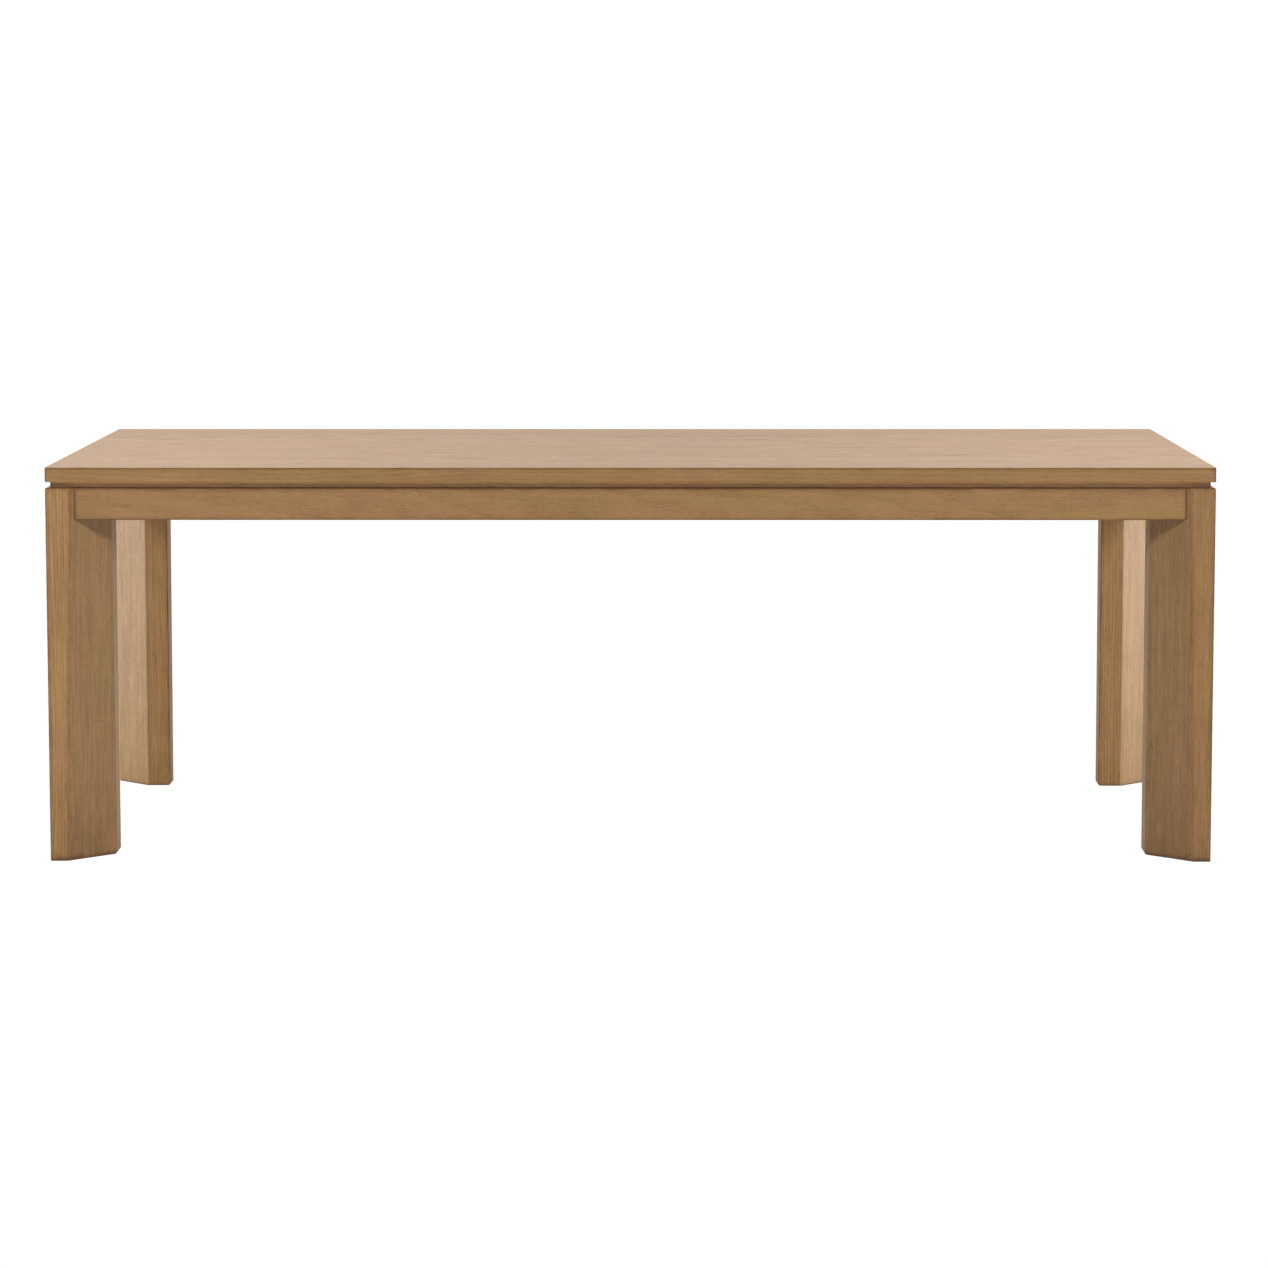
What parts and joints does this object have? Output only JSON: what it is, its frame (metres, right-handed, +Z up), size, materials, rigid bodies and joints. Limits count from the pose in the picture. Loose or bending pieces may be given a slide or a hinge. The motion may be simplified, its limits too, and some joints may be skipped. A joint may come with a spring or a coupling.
{
  "type": "communion table",
  "caption": "Long rectangular oak table: lipped slab on a recessed reveal strip, deep aprons, six-sided legs set diagonally at the corners, screw-in floor glides.",
  "frame": {"origin": "middle of the footprint, at floor level", "axes": "+X along the table's length, +Z up, the front faces -Y"},
  "size_m": [2.235, 1.118, 0.762],
  "materials": {
    "face_veneer": "light oak veneer, grain lengthwise, satin lacquer",
    "core_board": "plain core board, unfinished underside",
    "lipping": "light oak, grain lengthwise, satin lacquer",
    "reveal_strip": "oak stained a little darker, satin lacquer",
    "apron": "light oak, grain lengthwise, satin lacquer",
    "leg": "light oak, grain upright, edges and feet a little darker, satin lacquer",
    "corner_block": "plain sawn softwood, unfinished",
    "cross_rail": "plain sawn softwood, unfinished",
    "zinc_bolt": "bright zinc",
    "zinc_nut": "bright zinc",
    "wood_screw": "yellow zinc",
    "steel_insert": "zinc",
    "glide_stem": "bright zinc",
    "glide_pad": "dark nylon"
  },
  "bodies": {
    "frame": {"top_veneer": "face_veneer", "top_core": "core_board", "lipping_front": "lipping", "lipping_back": "lipping", "lipping_left": "lipping", "lipping_right": "lipping", "reveal_strip_front": "reveal_strip", "reveal_strip_back": "reveal_strip", "reveal_strip_left": "reveal_strip", "reveal_strip_right": "reveal_strip", "apron_front": "apron", "apron_back": "apron", "apron_left": "apron", "apron_right": "apron", "leg_front_left": "leg", "leg_front_right": "leg", "leg_back_left": "leg", "leg_back_right": "leg", "corner_block_front_left": "corner_block", "corner_block_front_right": "corner_block", "corner_block_back_left": "corner_block", "corner_block_back_right": "corner_block", "cross_rail_left": "cross_rail", "cross_rail_right": "cross_rail", "hanger_bolt_front_left_upper": "zinc_bolt", "hanger_bolt_front_left_lower": "zinc_bolt", "hanger_bolt_front_right_upper": "zinc_bolt", "hanger_bolt_front_right_lower": "zinc_bolt", "hanger_bolt_back_left_upper": "zinc_bolt", "hanger_bolt_back_left_lower": "zinc_bolt", "hanger_bolt_back_right_upper": "zinc_bolt", "hanger_bolt_back_right_lower": "zinc_bolt", "flange_nut_front_left_upper": "zinc_nut", "flange_nut_front_left_lower": "zinc_nut", "flange_nut_front_right_upper": "zinc_nut", "flange_nut_front_right_lower": "zinc_nut", "flange_nut_back_left_upper": "zinc_nut", "flange_nut_back_left_lower": "zinc_nut", "flange_nut_back_right_upper": "zinc_nut", "flange_nut_back_right_lower": "zinc_nut", "top_screw_block_front_left": "wood_screw", "top_screw_block_front_right": "wood_screw", "top_screw_block_back_left": "wood_screw", "top_screw_block_back_right": "wood_screw", "top_screw_rail_left_front": "wood_screw", "top_screw_rail_left_back": "wood_screw", "top_screw_rail_right_front": "wood_screw", "top_screw_rail_right_back": "wood_screw", "foot_insert_front_left": "steel_insert", "foot_insert_front_right": "steel_insert", "foot_insert_back_left": "steel_insert", "foot_insert_back_right": "steel_insert"},
    "glide_pad_front_left": {"glide_pad_front_left": "glide_pad"},
    "glide_stem_front_left": {"glide_stem_front_left": "glide_stem"},
    "glide_pad_front_right": {"glide_pad_front_right": "glide_pad"},
    "glide_stem_front_right": {"glide_stem_front_right": "glide_stem"},
    "glide_pad_back_left": {"glide_pad_back_left": "glide_pad"},
    "glide_stem_back_left": {"glide_stem_back_left": "glide_stem"},
    "glide_pad_back_right": {"glide_pad_back_right": "glide_pad"},
    "glide_stem_back_right": {"glide_stem_back_right": "glide_stem"}
  },
  "joints": [
    {"name": "glide_lift_front_left", "type": "slide", "parent": "frame", "child": "glide_pad_front_left", "axis": [0, 0, -1], "range_m": [0, 0.01]},
    {"name": "glide_turn_front_left", "type": "hinge", "parent": "glide_pad_front_left", "child": "glide_stem_front_left", "pos_m": [-1.0615, -0.4965, 0], "axis": [0, 0, -1], "range_deg": [0, 2880]},
    {"name": "glide_lift_front_right", "type": "slide", "parent": "frame", "child": "glide_pad_front_right", "axis": [0, 0, -1], "range_m": [0, 0.01]},
    {"name": "glide_turn_front_right", "type": "hinge", "parent": "glide_pad_front_right", "child": "glide_stem_front_right", "pos_m": [1.0615, -0.4965, 0], "axis": [0, 0, -1], "range_deg": [0, 2880]},
    {"name": "glide_lift_back_left", "type": "slide", "parent": "frame", "child": "glide_pad_back_left", "axis": [0, 0, -1], "range_m": [0, 0.01]},
    {"name": "glide_turn_back_left", "type": "hinge", "parent": "glide_pad_back_left", "child": "glide_stem_back_left", "pos_m": [-1.0615, 0.4965, 0], "axis": [0, 0, -1], "range_deg": [0, 2880]},
    {"name": "glide_lift_back_right", "type": "slide", "parent": "frame", "child": "glide_pad_back_right", "axis": [0, 0, -1], "range_m": [0, 0.01]},
    {"name": "glide_turn_back_right", "type": "hinge", "parent": "glide_pad_back_right", "child": "glide_stem_back_right", "pos_m": [1.0615, 0.4965, 0], "axis": [0, 0, -1], "range_deg": [0, 2880]}
  ],
  "couplings": [
    {"joint": "glide_turn_front_left", "follows": "glide_lift_front_left", "rad_per_m": 5026.5},
    {"joint": "glide_turn_front_right", "follows": "glide_lift_front_right", "rad_per_m": 5026.5},
    {"joint": "glide_turn_back_left", "follows": "glide_lift_back_left", "rad_per_m": 5026.5},
    {"joint": "glide_turn_back_right", "follows": "glide_lift_back_right", "rad_per_m": 5026.5}
  ]
}
